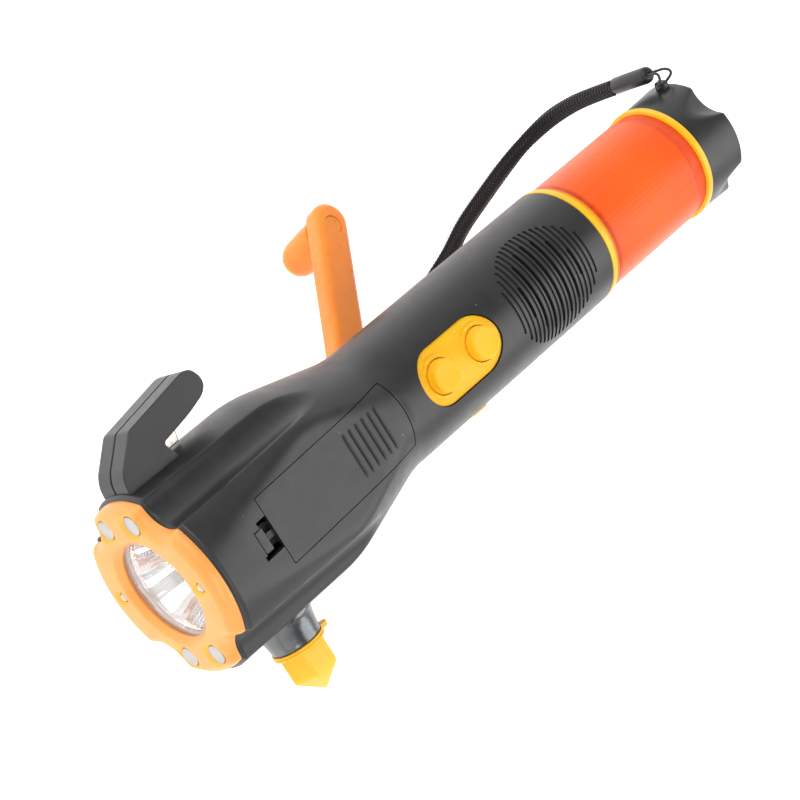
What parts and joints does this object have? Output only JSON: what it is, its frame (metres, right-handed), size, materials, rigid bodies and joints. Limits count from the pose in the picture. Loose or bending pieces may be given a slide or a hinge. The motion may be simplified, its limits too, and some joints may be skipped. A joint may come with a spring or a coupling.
{
  "type": "hand crank flashlight",
  "caption": "Hand crank flashlight with a flared magnetic head, belt cutter fin, capped window hammer, battery door, buttons, speaker grille, translucent beacon, folding crank and wrist strap.",
  "frame": {"origin": "centre of the flat magnetic front face, on the torch axis", "axes": "+X from the front face to the tail along the torch axis, +Y towards the belt cutter fin, +Z towards the switch, battery door and speaker"},
  "size_m": [0.2455, 0.0997, 0.0928],
  "materials": {
    "black_shell": "satin",
    "orange_bezel": "satin",
    "yellow_trim": "gloss",
    "orange_crank": "gloss",
    "orange_rubber": "matte",
    "beacon": "gloss",
    "clear": "gloss",
    "magnet": "polished",
    "dark_steel": "polished",
    "steel": "satin",
    "blade_steel": "polished",
    "reflector": "polished",
    "inner_plastic": "matte",
    "white_plastic": "matte",
    "board": "matte",
    "led": "gloss",
    "cell": "gloss",
    "brass": "satin",
    "copper": "satin",
    "black_rubber": "matte",
    "strap": "woven"
  },
  "bodies": {
    "casing": {"upper_shell": "black_shell", "lower_shell": "black_shell", "casing_screws": "steel", "front_bezel": "orange_bezel", "bezel_magnets": "magnet", "signal_leds": "led", "lens": "clear", "lens_seal": "black_rubber", "reflector": "reflector", "main_led": "led", "led_board": "board", "cutter_blade": "blade_steel", "hammer_collar": "dark_steel", "hammer_tip": "steel", "hammer_nut": "steel", "battery_tray": "inner_plastic", "battery_cells": "cell", "tray_contacts": "brass", "charge_pack": "cell", "charge_socket": "steel", "switch_pad": "orange_rubber", "tact_switches": "steel", "main_board": "board", "speaker": "inner_plastic", "speaker_ring": "inner_plastic", "crank_bush": "brass", "idler_pin": "steel", "gearbox_base": "white_plastic", "gearbox_top": "white_plastic", "stator_coil": "copper", "stator_core": "steel", "front_ring": "yellow_trim", "rear_ring": "yellow_trim", "beacon_lens": "beacon", "beacon_core": "white_plastic", "beacon_board": "board", "beacon_leds": "led", "tail_cap": "black_shell", "strap_string": "strap", "strap_bead": "black_shell", "wrist_strap": "strap"},
    "crank": {"crank_hub": "orange_crank", "crank_shaft": "steel", "crank_gear": "white_plastic"},
    "arm": {"crank_arm": "orange_crank", "arm_pin": "steel", "knob_spindle": "orange_crank"},
    "knob": {"crank_knob": "orange_crank"},
    "idler": {"idler_gear": "white_plastic"},
    "rotor": {"rotor_pinion": "white_plastic", "rotor_shaft": "steel", "rotor_magnet": "inner_plastic"},
    "front_key": {"front_key": "yellow_trim"},
    "rear_key": {"rear_key": "yellow_trim"},
    "door": {"battery_door": "black_shell"},
    "cap": {"hammer_cap": "yellow_trim"},
    "plug": {"port_plug": "orange_rubber"}
  },
  "joints": [
    {"name": "crank_spin", "type": "hinge", "parent": "casing", "child": "crank", "pos_m": [0.0953, 0, -0.018], "axis": [0, 0, 1], "continuous": true},
    {"name": "arm_fold", "type": "hinge", "parent": "crank", "child": "arm", "pos_m": [0.1011, 0.00544, -0.02262], "axis": [-0.6845, 0.729, 0], "range_deg": [0, 155.1]},
    {"name": "knob_spin", "type": "hinge", "parent": "arm", "child": "knob", "pos_m": [0.13828, 0.04036, -0.04487], "axis": [-0.3069, -0.2882, -0.907], "continuous": true},
    {"name": "idler_spin", "type": "hinge", "parent": "casing", "child": "idler", "pos_m": [0.0773, 0, -0.006], "axis": [0, 0, 1], "continuous": true},
    {"name": "rotor_spin", "type": "hinge", "parent": "casing", "child": "rotor", "pos_m": [0.0623, 0, -0.004], "axis": [0, 0, 1], "continuous": true},
    {"name": "front_key_press", "type": "slide", "parent": "casing", "child": "front_key", "axis": [0, 0, -1], "range_m": [0, 0.001], "stiffness_N_per_m": 600},
    {"name": "rear_key_press", "type": "slide", "parent": "casing", "child": "rear_key", "axis": [0, 0, -1], "range_m": [0, 0.001], "stiffness_N_per_m": 600},
    {"name": "door_hinge", "type": "hinge", "parent": "casing", "child": "door", "pos_m": [0.0843, 0, 0.0203], "axis": [0, 1, 0], "range_deg": [0, 70]},
    {"name": "cap_pull", "type": "slide", "parent": "casing", "child": "cap", "axis": [0, -1, 0], "range_m": [0, 0.025]},
    {"name": "plug_flap", "type": "hinge", "parent": "casing", "child": "plug", "pos_m": [0.09, -0.02045, 0], "axis": [0, 0, -1], "range_deg": [0, 90]}
  ],
  "couplings": [
    {"joint": "idler_spin", "follows": "crank_spin", "ratio": -4},
    {"joint": "rotor_spin", "follows": "crank_spin", "ratio": 16}
  ]
}
